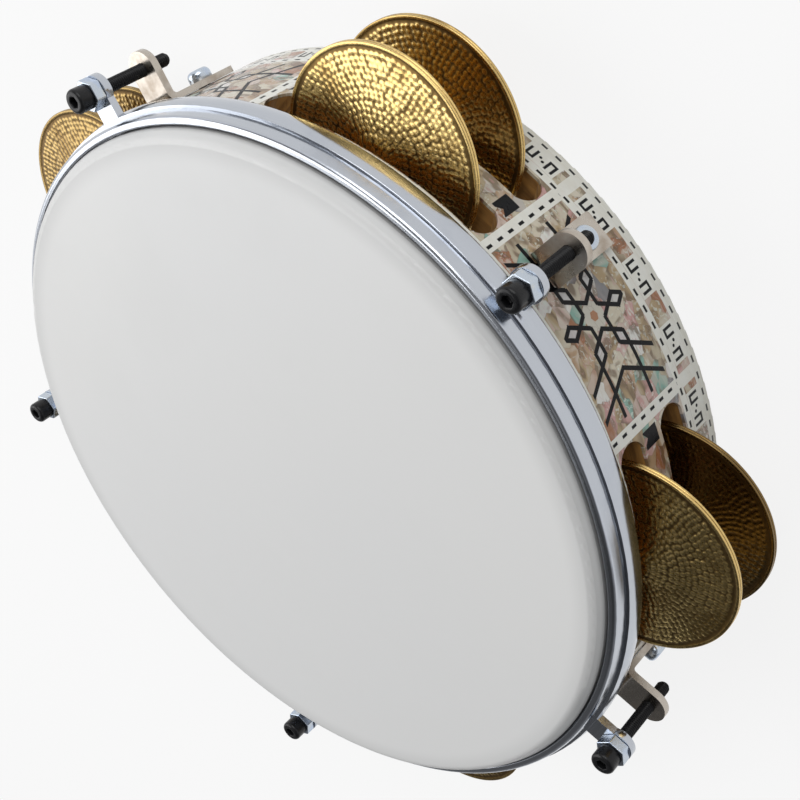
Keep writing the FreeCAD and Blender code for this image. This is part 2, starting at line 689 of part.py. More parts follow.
def check_parts(parts):
    """Stop if anything failed to build, or if a cut took nothing away."""
    for item in doc.Objects:
        if "Invalid" in item.State or "Error" in item.State:
            raise RuntimeError(f"{item.Label}: {item.State}")
    for part in parts:
        if part.Shape.isNull() or not part.Shape.isValid() or part.Shape.Volume <= 0:
            raise RuntimeError(f"{part.Label}: no valid shape")
        for feature in part.Group:
            if feature.isDerivedFrom("PartDesign::Pocket"):
                if feature.Shape.Volume >= feature.BaseFeature.Shape.Volume:
                    raise RuntimeError(f"{feature.Label}: cuts nothing")


def main():
    parts = make_parts()
    doc.recompute()
    check_parts(parts)
    os.makedirs("parts", exist_ok=True)
    for part in parts:
        part.Shape.exportStep(f"parts/{part.Label}.step")
        solids = len(part.Shape.Solids)
        print(f"{part.Label}: {solids} solid(s), {part.Shape.Volume:.1f} cubic millimetres")


main()
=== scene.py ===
import math
import random

import bpy
from bpy.props import FloatProperty, FloatVectorProperty, IntProperty, PointerProperty
from mathutils import Matrix, Vector
from mathutils.kdtree import KDTree


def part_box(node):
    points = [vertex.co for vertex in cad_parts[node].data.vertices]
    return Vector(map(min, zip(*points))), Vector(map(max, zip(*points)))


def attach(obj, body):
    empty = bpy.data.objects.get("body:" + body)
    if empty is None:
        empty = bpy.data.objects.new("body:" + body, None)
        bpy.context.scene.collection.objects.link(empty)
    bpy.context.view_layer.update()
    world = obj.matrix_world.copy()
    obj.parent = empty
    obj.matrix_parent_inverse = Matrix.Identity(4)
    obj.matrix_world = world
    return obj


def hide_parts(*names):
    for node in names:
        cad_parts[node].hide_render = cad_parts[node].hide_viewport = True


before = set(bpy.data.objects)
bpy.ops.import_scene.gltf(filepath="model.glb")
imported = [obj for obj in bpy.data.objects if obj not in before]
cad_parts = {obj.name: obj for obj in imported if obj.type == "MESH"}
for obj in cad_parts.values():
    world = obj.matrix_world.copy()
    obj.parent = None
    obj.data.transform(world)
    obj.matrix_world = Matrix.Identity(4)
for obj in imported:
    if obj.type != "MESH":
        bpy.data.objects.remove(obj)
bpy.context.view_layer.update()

bl_info = {
    "name": "Riq drum",
    "version": (1, 0, 0),
    "blender": (4, 5, 0),
    "location": "3D View > Sidebar > Riq",
    "description": "Finishes and worked pieces for an inlaid riq frame drum",
    "category": "Object",
}

# The drum's axis is +Z and it stands on its rear rim. The jingle sets are centred at
# 0, 72, 144, ... degrees from +X, so the inlaid panels are centred 36 degrees on.
MM = 0.001
SETS = 5
FULL_TURN = 2 * math.pi
QUARTER_TURN = math.pi / 2
SHELL_RADIUS = max(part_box("inlay_skin")[1])
JINGLE_LOW, JINGLE_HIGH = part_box("jingle_1_rear_high")
JINGLE_RADIUS = (JINGLE_HIGH.y - JINGLE_LOW.y) / 2 - 0.005 * MM
BOLT_LOW, BOLT_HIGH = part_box("tension_bolt_1")


# Shader nodes


class Link:
    """An output of a node. Arithmetic on it adds Math nodes beside that node."""

    def __init__(self, nodes, socket):
        self.nodes = nodes
        self.socket = socket

    def other(self, name):
        """Another output of the same node."""
        return Link(self.nodes, self.socket.node.outputs[name])

    def math(self, operation, *others):
        return self.nodes.math(operation, self, *others)

    def __add__(self, other):
        return self.math("ADD", other)

    def __radd__(self, other):
        return self.nodes.math("ADD", other, self)

    def __sub__(self, other):
        return self.math("SUBTRACT", other)

    def __rsub__(self, other):
        return self.nodes.math("SUBTRACT", other, self)

    def __mul__(self, other):
        return self.math("MULTIPLY", other)

    def __rmul__(self, other):
        return self.nodes.math("MULTIPLY", other, self)

    def __truediv__(self, other):
        return self.math("DIVIDE", other)

    def __abs__(self):
        return self.math("ABSOLUTE")

    def __and__(self, other):
        return self.math("MINIMUM", other)

    def __or__(self, other):
        return self.math("MAXIMUM", other)

    def fract(self):
        return self.math("FRACT")

    def parts(self):
        """The three numbers of a vector."""
        split = self.nodes.add("ShaderNodeSeparateXYZ", {}, {0: self})
        return split, split.other("Y"), split.other("Z")


class Nodes:
    """The nodes of a material or of the room's light."""

    def __init__(self, holder):
        holder.use_nodes = True
        self.tree = holder.node_tree
        self.tree.nodes.clear()

    def add(self, kind, settings, inputs, output=0):
        """Add one node: its type, its settings, then the values or links of its sockets."""
        node = self.tree.nodes.new(kind)
        for name, setting in settings.items():
            if name == "stops":
                self.set_stops(node.color_ramp, setting)
            else:
                setattr(node, name, setting)
        for key, given in inputs.items():
            self.feed(node.inputs[key], given)
        return Link(self, node.outputs[output]) if node.outputs else None

    def set_stops(self, ramp, stops):
        """Give a colour ramp its stops, each a place and a colour."""
        while len(ramp.elements) < len(stops):
            ramp.elements.new(1)
        for element, (place, colour) in zip(ramp.elements, stops):
            element.position = place
            element.color = (*colour, 1)

    def feed(self, socket, given):
        if isinstance(given, Link):
            self.tree.links.new(given.socket, socket)
        elif socket.type == "RGBA" and len(given) == 3:
            socket.default_value = (*given, 1)
        else:
            socket.default_value = given

    def math(self, operation, *values):
        return self.add("ShaderNodeMath", {"operation": operation}, dict(enumerate(values)))

    def place(self):
        """Where a point is on its own piece, in metres."""
        return self.add("ShaderNodeTexCoord", {}, {}, "Object")

    def vector(self, x, y, z):
        return self.add("ShaderNodeCombineXYZ", {}, {0: x, 1: y, 2: z})

    def length(self, x, y):
        """How long a flat vector is."""
        flat = self.vector(x, y, 0.0)
        return self.add("ShaderNodeVectorMath", {"operation": "LENGTH"}, {0: flat}, "Value")

    def mix(self, amount, first, second):
        """From the first colour to the second as the amount goes from 0 to 1."""
        inputs = {0: amount, 6: first, 7: second}
        return self.add("ShaderNodeMix", {"data_type": "RGBA"}, inputs, 2)

    def ramp(self, amount, stops, interpolation="LINEAR"):
        """A colour from a ramp of stops."""
        ramp = self.add("ShaderNodeValToRGB", {"stops": stops}, {0: amount})
        ramp.socket.node.color_ramp.interpolation = interpolation
        return ramp

    def spread(self, amount, low, high, start=0.0, end=1.0):
        """Take the span from low to high smoothly onto the one from start to end."""
        inputs = {0: amount, 1: low, 2: high, 3: start, 4: end}
        return self.add("ShaderNodeMapRange", {"interpolation_type": "SMOOTHSTEP"}, inputs)

    def noise(self, vector, scale, detail=3.0, roughness=0.5, distortion=0.0):
        inputs = {"Vector": vector, "Scale": scale, "Detail": detail,
                  "Roughness": roughness, "Distortion": distortion}
        return self.add("ShaderNodeTexNoise", {}, inputs)

    def bump(self, height, depth):
        """A normal from a height of 0 to 1 that stands for this depth in metres."""
        inputs = {"Strength": 1.0, "Distance": depth, "Height": height}
        return self.add("ShaderNodeBump", {}, inputs)

    def around(self):
        """Angle in turns from 0 to 1, radius and height, the last two in millimetres."""
        x, y, z = self.place().parts()
        turn = (y.math("ARCTAN2", x) / FULL_TURN + 1).fract()
        radius = (x * x + y * y).math("SQRT")
        return turn, radius / MM, z / MM

    def shown(self):
        """1 where a ray comes from the camera, a reflection or through something clear."""
        path = self.add("ShaderNodeLightPath", {}, {}, "Is Camera Ray")
        return path | path.other("Is Glossy Ray") | path.other("Is Transmission Ray")


class Finish(Nodes):
    """A material under construction: one Principled shader and the nodes that vary it."""

    def __init__(self, name, **constants):
        self.material = bpy.data.materials.new(name)
        super().__init__(self.material)
        self.shader = self.add("ShaderNodeBsdfPrincipled", {}, constants)
        self.add("ShaderNodeOutputMaterial", {}, {"Surface": self.shader})

    def set(self, **inputs):
        """Feed the shader's sockets. Underscores in a name stand for spaces."""
        for name, given in inputs.items():
            self.feed(self.shader.socket.node.inputs[name.replace("_", " ")], given)


def dress(node, material):
    """Give a CAD node's material slots this material."""
    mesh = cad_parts[node].data
    if not mesh.materials:
        mesh.materials.append(material)
    for number in range(len(mesh.materials)):
        mesh.materials[number] = material


SHARP_EDGE = math.radians(30)
WELD_REACH = 0.002 * MM


def soften(node, width):
    """Round a CAD node's sharp edges by a hair, as a tumbled or polished edge is."""
    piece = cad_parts[node]
    weld = piece.modifiers.new("weld", "WELD")
    weld.merge_threshold = WELD_REACH
    bevel = piece.modifiers.new("soft_edges", "BEVEL")
    bevel.width = width
    bevel.segments = 2
    bevel.limit_method = "ANGLE"
    bevel.angle_limit = SHARP_EDGE
    bevel.harden_normals = True
    bevel.use_clamp_overlap = True


# Meshes


def limited(value):
    """A value held between 0 and 1."""
    return min(1.0, max(0.0, value))


def turned_mesh(name, rows, segments, ring=False):
    """A surface of rows round the Z axis. A row gives a radius and a height at an angle.
    A ring's last row joins its first, and otherwise both ends are closed."""
    angles = [FULL_TURN * step / segments for step in range(segments)]
    points = []
    for row in rows:
        for angle in angles:
            radius, height = row(angle) if callable(row) else row
            points.append((radius * math.cos(angle), radius * math.sin(angle), height))
    faces = []
    for number in range(len(rows) if ring else len(rows) - 1):
        low = number * segments
        high = (number + 1) % len(rows) * segments
        for step in range(segments):
            after = (step + 1) % segments
            faces.append((low + step, low + after, high + after, high + step))
    if not ring:
        faces.append(tuple(reversed(range(segments))))
        faces.append(tuple(range(len(points) - segments, len(points))))
    mesh = bpy.data.meshes.new(name)
    mesh.from_pydata(points, [], faces)
    mesh.shade_smooth()
    mesh.validate()
    return mesh


def place_piece(name, mesh, material, matrix, body, slot, *nodes):
    """Put a piece on its body in place of the CAD nodes that it stands for."""
    piece = bpy.data.objects.new(name, mesh)
    bpy.context.scene.collection.objects.link(piece)
    if not mesh.materials:
        mesh.materials.append(material)
    piece.matrix_world = matrix
    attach(piece, body)
    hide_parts(*nodes)
    return piece


# Wood and inlay


class RiqWood(bpy.types.PropertyGroup):
    pale: FloatVectorProperty(
        name="Pale grain", description="Wood between the dark grain lines",
        default=(0.50, 0.27, 0.085), subtype="COLOR", min=0, max=1)
    dark: FloatVectorProperty(
        name="Dark grain", description="Dark grain lines of the stained wood",
        default=(0.19, 0.092, 0.030), subtype="COLOR", min=0, max=1)


class RiqInlay(bpy.types.PropertyGroup):
    ivory: FloatVectorProperty(
        name="Ivory", description="Pale border strips and binding",
        default=(0.84, 0.84, 0.78), subtype="COLOR", min=0, max=1)
    ebony: FloatVectorProperty(
        name="Ebony", description="Black straps and dashes",
        default=(0.006, 0.006, 0.007), subtype="COLOR", min=0, max=1)
    step: FloatProperty(
        name="Strap lattice", description="Side of one diamond of the strapwork",
        default=3.78 * MM, min=1 * MM, unit="LENGTH", precision=5)
    strap: FloatProperty(
        name="Strap width", description="Width of a black strap",
        default=1.25 * MM, min=0.2 * MM, unit="LENGTH", precision=5)
    dash: FloatProperty(
        name="Dash width", description="Width of a black dash across the borders",
        default=0.9 * MM, min=0.2 * MM, unit="LENGTH", precision=5)


# The inlay's pattern in millimetres. Heights are above the rear rim, and distances to the
# side are round the shell from a panel's middle.
GIRTH = FULL_TURN * SHELL_RADIUS / MM
SOFT_EDGE = 0.07
PANEL_MIDDLE = 29.0
PANEL_END, END_STRIP, END_STRIP_EDGE = 29.3, 3.0, 31.6
REAR_ROW, REAR_STRIP, RIM_STRIP_TOP = 11.3, 2.7, 3.9
FRONT_ROW, FRONT_STRIP_FOOT = 45.3, 44.1
CROSS_PITCH, CROSS_SHIFT, CROSS_SHARE, CROSS_FOOT = 4.57, 0.4, 0.44, 0.6
RING_DASHES, RING_SHARE, RING_WIDTH = 140, 0.42, 0.85
TILE_AT, TILE_WIDTH, TILE_HEIGHT, TILE_DROP = 35.2, 5.0, 6.2, 0.2
NOTCH_AT, NOTCH_HALF, NOTCH_TOP, NOTCH_SLOPE = 34.8, 1.7, 2.9, 1.1
KEYS, KEY_HEIGHT, KEY_BAND_TOP, KEY_TILE = 35, 7.1, 9.9, 11.4
KEY_AT, KEY_WIDTH, KEY_RISE, KEY_HOLLOW, KEY_FLOOR = 3.3, 3.0, 3.9, 1.35, 1.1
DOT_AT, DOT_RISE, DOT_RADIUS = 0.62, 0.45, 0.48
BINDING_ROW, BINDING_WIDTH, BINDING_FACE = 2.35, 0.76, 109.0
STRAP_END = 0.25

# The strapwork and the star in its middle, in sides of one diamond of the lattice
ROOT = math.sqrt(3)
STAR_RADIUS, STAR_CORE, LOOP_RADIUS = 1.02, 0.34, 0.46
LOOPS = ((2.25, 1.299), (0.0, 2.598))
STRAP_TOP = 3.72

# Kinds of shell in the mosaic: the draw from which each is used, and its colour
SHELLS = (
    (0.0, (0.42, 0.31, 0.17)),
    (0.13, (0.52, 0.45, 0.32)),
    (0.32, (0.46, 0.31, 0.185)),
    (0.44, (0.64, 0.58, 0.45)),
    (0.56, (0.36, 0.155, 0.07)),
    (0.66, (0.56, 0.43, 0.36)),
    (0.75, (0.56, 0.32, 0.29)),
    (0.83, (0.24, 0.42, 0.35)),
    (0.865, (0.74, 0.73, 0.69)),
    (0.94, (0.24, 0.235, 0.24)),
)
# Pale streaks of the shell, lightened further as painted sheen.
PALE_STREAK_AND_SHEEN = (0.68, 0.63, 0.54)
SHADE = (0.17, 0.11, 0.06)
# A painted glint: pale green-white specks that stand for light caught by the shell.
PAINTED_GLINT = (0.74, 0.79, 0.73)
BLUSH = (0.60, 0.34, 0.36)
JOINT = (0.20, 0.14, 0.10)
STAR_SHELL = (0.60, 0.57, 0.49)
CORE_SHELL = (0.42, 0.20, 0.10)
LOOP_SHELL = (0.60, 0.60, 0.60)
OLD_IVORY = (0.72, 0.68, 0.58)


def stained_wood(look):
    """Stained and lacquered wood whose grain runs round the shell."""
    finish = Finish("stained_wood", Roughness=0.42)
    x, y, z = finish.place().parts()
    radius = finish.around()[1]
    rings = finish.vector(x * 30, y * 30, z * 900 + radius * 0.35)
    grain = finish.noise(rings, 1.0, 6.0, 0.62, 0.6)
    fleck = finish.noise(finish.vector(x * 160, y * 160, z * 2600), 1.0, 2.0)
    pore = (0.07, 0.03, 0.012)
    tone = finish.mix(finish.spread(grain, 0.32, 0.68), look.dark, look.pale)
    tone = finish.mix(finish.spread(fleck, 0.56, 0.74) * 0.5, tone, pore)
    finish.set(Base_Color=tone, Roughness=finish.spread(grain, 0.3, 0.7, 0.5, 0.34),
               Normal=finish.bump(fleck * 0.6 + grain * 0.4, 0.05 * MM), Coat_Weight=0.25,
               Coat_Roughness=0.25)
    return finish.material


def inside(distance):
    """1 where a distance in millimetres is below 0, with a slightly soft edge."""
    return distance.nodes.spread(distance, -SOFT_EDGE, SOFT_EDGE, 1.0, 0.0)


def strip(value, at, width):
    """How far a value is outside a strip."""
    return abs(value - at) - width / 2


def dashes(along, share):
    """How far a point is outside a row of dashes, as a share of their pitch."""
    return strip(along.fract(), 0.5, share)


def ring_dashes(turn):
    """How far a point is outside the dashes of a row round the shell, in millimetres."""
    return dashes(turn * RING_DASHES, RING_SHARE) * (GIRTH / RING_DASHES)


def strap_distance(look, side, up):
    """How far a point of a panel is outside the straps, in millimetres.
    The straps follow a lattice of equilateral triangles and mirror in both axes."""
    step = look.step / MM
    p = side / step
    q = up / step
    rising = p * (ROOT / 2) - q * 0.5
    falling = p * (ROOT / 2) + q * 0.5
    # Each strap: a lattice line, where it lies, and the span that it covers
    lines = (
        (falling, ROOT / 2, q, ROOT / 2, ROOT),
        (q, ROOT / 2, p, 0.5, 2.5),
        (rising, ROOT, q, ROOT / 2, STRAP_TOP),
        (rising, ROOT / 2, q, 0.0, ROOT),
        (q, ROOT, p, 2.0, 6.75),
        (rising, -ROOT / 2, q, ROOT, 1.5 * ROOT),
        (falling, ROOT, q, 1.5 * ROOT, 2 * ROOT),
        (rising, 2 * ROOT, q, 0.0, STRAP_TOP),
    )
    nearest = None
    for line, at, along, low, high in lines:
        beside = abs(line - at) * step - look.strap / MM / 2
        beyond = strip(along, (low + high) / 2, high - low) * step - STRAP_END
        gap = beside | beyond
        nearest = gap if nearest is None else nearest & gap
    return nearest


def border_distances(look, turn, side, height):
    """How far a point is outside the ivory strips and outside the dashes in them."""
    end = strip(side, PANEL_END, END_STRIP)
    beyond_end = (side - END_STRIP_EDGE) | (PANEL_END - side)
    behind = strip(height, REAR_ROW, REAR_STRIP)
    strips = end & behind & (FRONT_STRIP_FOOT - height) & (height - RIM_STRIP_TOP) & beyond_end
    ring = ring_dashes(turn)
    cross = dashes((height + CROSS_SHIFT) / CROSS_PITCH, CROSS_SHARE) * CROSS_PITCH
    cross = strip(side, PANEL_END, look.dash / MM) | cross | (REAR_ROW + CROSS_FOOT - height)
    rear = strip(height, REAR_ROW, RING_WIDTH) | ring
    front = strip(height, FRONT_ROW, RING_WIDTH) | ring
    return strips, rear & front & cross


def slot_tile(side, height):
    """How far a point is outside the notched black tile between two rows of slots."""
    tile = strip(side, TILE_AT, TILE_WIDTH)
    tile = tile | strip(height, PANEL_MIDDLE - TILE_DROP, TILE_HEIGHT)
    depth = (PANEL_MIDDLE + NOTCH_TOP - height) * NOTCH_SLOPE
    return tile | (NOTCH_HALF - abs(side - NOTCH_AT) - depth)


def key_distances(finish, turn, height):
    """Rear band: how far a point is outside the hooked keys and dots, and outside the
    ivory tiles that hold them, between bars of shell."""
    along = ((turn * KEYS).fract() - 0.5) * (GIRTH / KEYS)
    facing = along.math("SIGN") * (KEY_HEIGHT - height)
    away = abs(along)
    arms = strip(away, KEY_AT, KEY_WIDTH) | strip(facing, 0.0, KEY_RISE)
    hollow = strip(away, KEY_AT, KEY_HOLLOW) | (-KEY_FLOOR - facing)
    dot = finish.length(away - DOT_AT, facing - DOT_RISE) - DOT_RADIUS
    above = height - KEY_BAND_TOP
    keys = ((arms | hollow * -1.0) & dot) | above
    return keys, strip(along, 0.0, KEY_TILE) | above


def shell_mosaic(finish, arc, height):
    """Slanted pieces of shell, each with its own colour and its own streaks, with painted
    sheen and painted glints laid over them.
    The second result is how far a point is from the joint to the next piece."""
    slant = finish.vector(arc * 0.19 + height * 0.09, height * 0.235 - arc * 0.03, 0.0)
    settings = {"voronoi_dimensions": "2D", "distance": "MANHATTAN"}
    inputs = {"Vector": slant, "Scale": 1.0, "Randomness": 0.9}
    cells = finish.add("ShaderNodeTexVoronoi", {**settings, "feature": "F1"}, inputs)
    second = finish.add("ShaderNodeTexVoronoi", {**settings, "feature": "F2"}, inputs)
    red, green, blue = cells.other("Color").parts()
    shells = finish.ramp(red, SHELLS, "CONSTANT")
    lean = finish.vector(arc * (green * 0.5 + 0.15), height * (blue * 0.7 + 0.25), red * 9)
    streak = finish.noise(lean, 0.42, 1.5, 0.5, 0.6)
    fine = finish.noise(lean, 1.5, 1.5, 0.5, 0.9)
    # Pale streaks, partly the shell's own colour and partly painted sheen.
    pearl = finish.mix(finish.spread(streak, 0.50, 0.70) * 0.6, shells, PALE_STREAK_AND_SHEEN)
    pearl = finish.mix(finish.spread(streak, 0.51, 0.36) * 0.8, pearl, SHADE)
    # Painted glints: small pale specks where the fine noise is high.
    painted_glint = finish.spread(fine, 0.56, 0.68) * finish.spread(green, 0.30, 0.70)
    pearl = finish.mix(painted_glint * 0.6, pearl, PAINTED_GLINT)
    blush = finish.spread(fine, 0.42, 0.30) * blue
    return finish.mix(blush * 0.55, pearl, BLUSH), second - cells


def inlaid_skin(look):
    """Pearl mosaic panels with black strapwork, in ivory borders with black dashes."""
    finish = Finish("inlaid_skin", **{"Specular IOR Level": 0.12, "Coat Roughness": 0.1})
    turn, _, height = finish.around()
    arc = turn * GIRTH
    side = abs((turn * SETS).fract() - 0.5) * (GIRTH / SETS)
    up = abs(height - PANEL_MIDDLE)
    step = look.step / MM
    straps = inside(strap_distance(look, side, up)) * inside(side - PANEL_END)
    star = inside(finish.length(side, up) - STAR_RADIUS * step)
    core = inside((side | (side * 0.5 + up * (ROOT / 2))) - STAR_CORE * step)
    near, top = (finish.length(side - x * step, up - y * step) for x, y in LOOPS)
    loops = inside((near & top) - LOOP_RADIUS * step)
    strips, black = border_distances(look, turn, side, height)
    keys, tiles = key_distances(finish, turn, height)
    ivory_mask = inside(strips & tiles)
    black_mask = inside(black & slot_tile(side, height) & keys)

    pearl, joints = shell_mosaic(finish, arc, height)
    cloud = finish.noise(finish.vector(arc, height * 1.6, 0.0), 0.16, 3.0)
    ivory = finish.mix(finish.spread(cloud, 0.35, 0.7) * 0.35, look.ivory, OLD_IVORY)
    colour = finish.mix(star, pearl, STAR_SHELL)
    colour = finish.mix(core, colour, CORE_SHELL)
    colour = finish.mix(loops * 0.8, colour, LOOP_SHELL)
    colour = finish.mix(finish.spread(joints, 0.0, 0.09, 0.28, 0.0), colour, JOINT)
    colour = finish.mix(straps, colour, look.ebony)
    colour = finish.mix(ivory_mask, colour, ivory)
    colour = finish.mix(black_mask, colour, look.ebony)
    wear = finish.noise(finish.vector(arc, height, 0.0), 0.5, 4.0, 0.7)
    ink = black_mask | straps
    seam = ink * 0.6 + finish.spread(joints, 0.0, 0.05, 0.0, 0.4)
    finish.set(Base_Color=colour, Roughness=finish.spread(wear, 0.3, 0.75, 0.24, 0.42),
               Coat_Weight=(1 - ink) * 0.55,
               Normal=finish.bump(seam + wear * 0.2, 0.04 * MM))
    return finish.material


def ivory_binding(look):
    """The ivory ring at the rear rim, with one row of dashes and fine growth lines."""
    finish = Finish("ivory_binding", **{"Specular IOR Level": 0.3})
    turn, radius, height = finish.around()
    x, y, z = finish.place().parts()
    lines = finish.noise(finish.vector(x * 60, y * 60, z * 2500), 1.0, 4.0, 0.6)
    growth, rim_edge_tone = (0.70, 0.66, 0.55), (0.40, 0.36, 0.30)
    tone = finish.mix(finish.spread(lines, 0.35, 0.7) * 0.5, look.ivory, growth)
    # Darker over the lowest 0.9 mm, towards the rear rim's edge.
    tone = finish.mix(finish.spread(height, 0.9, 0.0) * 0.3, tone, rim_edge_tone)
    row = strip(height, BINDING_ROW, BINDING_WIDTH)
    dash = inside(row | ring_dashes(turn) | (BINDING_FACE - radius))
    finish.set(Base_Color=finish.mix(dash, tone, look.ebony),
               Roughness=finish.spread(lines, 0.3, 0.7, 0.3, 0.46),
               Normal=finish.bump(lines, 0.02 * MM))
    return finish.material


class RIQ_OT_wood(bpy.types.Operator):
    """Finish the wooden shell"""

    bl_idname = "riq.wood"
    bl_label = "Finish the wooden shell"

    def execute(self, context):
        dress("shell", stained_wood(context.scene.riq_wood))
        return {"FINISHED"}


class RIQ_OT_inlay(bpy.types.Operator):
    """Lay the mosaic, the strapwork and the borders on the shell"""

    bl_idname = "riq.inlay"
    bl_label = "Lay the inlaid skin"

    def execute(self, context):
        dress("inlay_skin", inlaid_skin(context.scene.riq_inlay))
        return {"FINISHED"}


class RIQ_OT_binding(bpy.types.Operator):
    """Finish the ivory binding of the rear rim"""

    bl_idname = "riq.binding"
    bl_label = "Finish the rear binding"

    def execute(self, context):
        dress("rear_binding", ivory_binding(context.scene.riq_inlay))
        return {"FINISHED"}


# Head


class RiqFilm(bpy.types.PropertyGroup):
    white: FloatVectorProperty(
        name="Film", description="Coated white film of the head",
        default=(0.79, 0.79, 0.785), subtype="COLOR", min=0, max=1)
    # The collar colour is painted shade: grey laid on the film where it bends over the bearing
    # edge, standing for the shading of that slope.
    collar: FloatVectorProperty(
        name="Collar", description="Greyed film where it bends over the bearing edge",
        default=(0.56, 0.56, 0.555), subtype="COLOR", min=0, max=1)


# Where the film bends over the bearing edge, by radius, and where it goes under the hoop,
# by height, both in millimetres. Both spans get painted shade: grey on the bend and a
# dark painted shadow under the hoop.
BEND_START, BEND_END = 99.5, 107.5
TUCK_START, TUCK_END = 60.4, 58.8


def coated_film(look):
    """White coated film, a little clouded. Painted shade makes it greyer where it is bent
    over the edge and darker where it goes under the hoop.
    """
    finish = Finish("coated_film", Roughness=0.5)
    _, radius, height = finish.around()
    spot = finish.place()
    cloud = finish.noise(spot, 22.0, 4.0, 0.55)
    grain = finish.noise(spot, 2600.0, 2.0)
    low = finish.noise(spot, 7.0, 1.0)
    dull, warm, shaded = (0.70, 0.70, 0.69), (0.84, 0.83, 0.80), (0.24, 0.235, 0.23)
    tone = finish.mix(finish.spread(cloud, 0.35, 0.7) * 0.2, look.white, dull)
    tone = finish.mix(finish.spread(low, 0.4, 0.65) * 0.2, tone, warm)
    # Painted shade: the film goes towards the collar colour where it bends over the edge.
    bend_shade = finish.spread(radius, BEND_START, BEND_END)
    tone = finish.mix(bend_shade * 0.5, tone, look.collar)
    # Painted shadow: the film goes dark where it runs under the hoop.
    tuck_shade = finish.spread(height, TUCK_START, TUCK_END)
    tone = finish.mix(tuck_shade * 0.7, tone, shaded)
    finish.set(Base_Color=tone, Roughness=finish.spread(cloud, 0.3, 0.7, 0.44, 0.56),
               Normal=finish.bump(grain, 0.012 * MM), Coat_Weight=0.12, Coat_Roughness=0.35)
    return finish.material


class RIQ_OT_head(bpy.types.Operator):
    """Finish the film of the head"""

    bl_idname = "riq.head"
    bl_label = "Finish the head"

    def execute(self, context):
        dress("drum_head", coated_film(context.scene.riq_film))
        return {"FINISHED"}


# Hoops and metal


class RiqMetal(bpy.types.PropertyGroup):
    aluminium: FloatVectorProperty(
        name="Aluminium", description="Tension hoop and flesh hoop",
        default=(0.49, 0.515, 0.56), subtype="COLOR", min=0, max=1)
    nickel: FloatVectorProperty(
        name="Nickel", description="Brackets",
        default=(0.50, 0.455, 0.40), subtype="COLOR", min=0, max=1)
    zinc: FloatVectorProperty(
        name="Zinc", description="Screws, washers, nuts and collars",
        default=(0.52, 0.575, 0.64), subtype="COLOR", min=0, max=1)
    steel: FloatVectorProperty(
        name="Steel", description="Jingle pins",
        default=(0.52, 0.52, 0.53), subtype="COLOR", min=0, max=1)
    black: FloatVectorProperty(
        name="Black steel", description="Blackened tension bolts",
        default=(0.010, 0.010, 0.011), subtype="COLOR", min=0, max=1)


def drawn_aluminium(look):
    """Aluminium with fine draw lines that run round the hoop."""
    finish = Finish("drawn_aluminium", Metallic=1.0)
    _, radius, height = finish.around()
    x, y, _ = finish.place().parts()
    drawn = finish.vector(x * 12, y * 12, height * 5 + radius * 4)
    lines = finish.noise(drawn, 1.0, 5.0, 0.65)
    cloud = finish.noise(finish.place(), 60.0, 4.0, 0.6)
    bright, dull = (0.57, 0.60, 0.64), (0.36, 0.39, 0.45)
    tone = finish.mix(finish.spread(lines, 0.35, 0.65) * 0.2, look.aluminium, bright)
    tone = finish.mix(finish.spread(cloud, 0.52, 0.74) * 0.3, tone, dull)
    rough = finish.spread(lines, 0.3, 0.7, 0.15, 0.21) + finish.spread(cloud, 0.5, 0.8) * 0.06
    finish.set(Base_Color=tone, Roughness=rough, Normal=finish.bump(lines, 0.004 * MM))
    return finish.material


def satin_nickel(look):
    """Warm satin nickel on a pressed and tumbled bracket."""
    finish = Finish("satin_nickel", Metallic=1.0)
    spot = finish.place()
    cloud = finish.noise(spot, 130.0, 5.0, 0.62)
    pits = finish.noise(spot, 1500.0, 2.0)
    worn = (0.27, 0.20, 0.14)
    tone = finish.mix(finish.spread(cloud, 0.45, 0.72) * 0.55, look.nickel, worn)
    finish.set(Base_Color=tone, Roughness=finish.spread(cloud, 0.3, 0.75, 0.22, 0.40),
               Normal=finish.bump(pits * 0.5 + cloud * 0.5, 0.02 * MM))
    return finish.material


def bright_zinc(look, name="bright_zinc"):
    """Bluish zinc plate with a faint yellow and violet bloom."""
    finish = Finish(name, Metallic=1.0)
    spot = finish.place()
    bloom = finish.noise(spot, 240.0, 3.0, 0.55)
    speck = finish.noise(spot, 1900.0, 2.0)
    violet, yellow = (0.42, 0.52, 0.72), (0.70, 0.66, 0.54)
    tone = finish.mix(finish.spread(bloom, 0.48, 0.66) * 0.5, look.zinc, violet)
    tone = finish.mix(finish.spread(bloom, 0.42, 0.30) * 0.4, tone, yellow)
    finish.set(Base_Color=tone, Roughness=finish.spread(speck, 0.3, 0.7, 0.16, 0.30),
               Normal=finish.bump(speck, 0.006 * MM))
    return finish.material


def ground_steel(look):
    """Ground steel rod with lines round it."""
    finish = Finish("ground_steel", Metallic=1.0)
    x, y, z = finish.place().parts()
    lines = finish.noise(finish.vector(x * 40, y * 40, z * 6000), 1.0, 3.0)
    groove = (0.34, 0.33, 0.33)
    tone = finish.mix(finish.spread(lines, 0.4, 0.7) * 0.5, look.steel, groove)
    finish.set(Base_Color=tone, Roughness=finish.spread(lines, 0.3, 0.7, 0.24, 0.4))
    return finish.material


def black_oxide(look):
    """Blackened steel with a little bare metal at its worn places."""
    finish = Finish("black_oxide", **{"Specular IOR Level": 0.25})
    spot = finish.place()
    cloud = finish.noise(spot, 420.0, 4.0, 0.6)
    wear = finish.spread(cloud, 0.62, 0.80)
    bare = (0.055, 0.052, 0.050)
    tone = finish.mix(wear * 0.5, look.black, bare)
    finish.set(Base_Color=tone, Roughness=finish.spread(cloud, 0.3, 0.75, 0.22, 0.38),
               Normal=finish.bump(cloud, 0.008 * MM))
    return finish.material


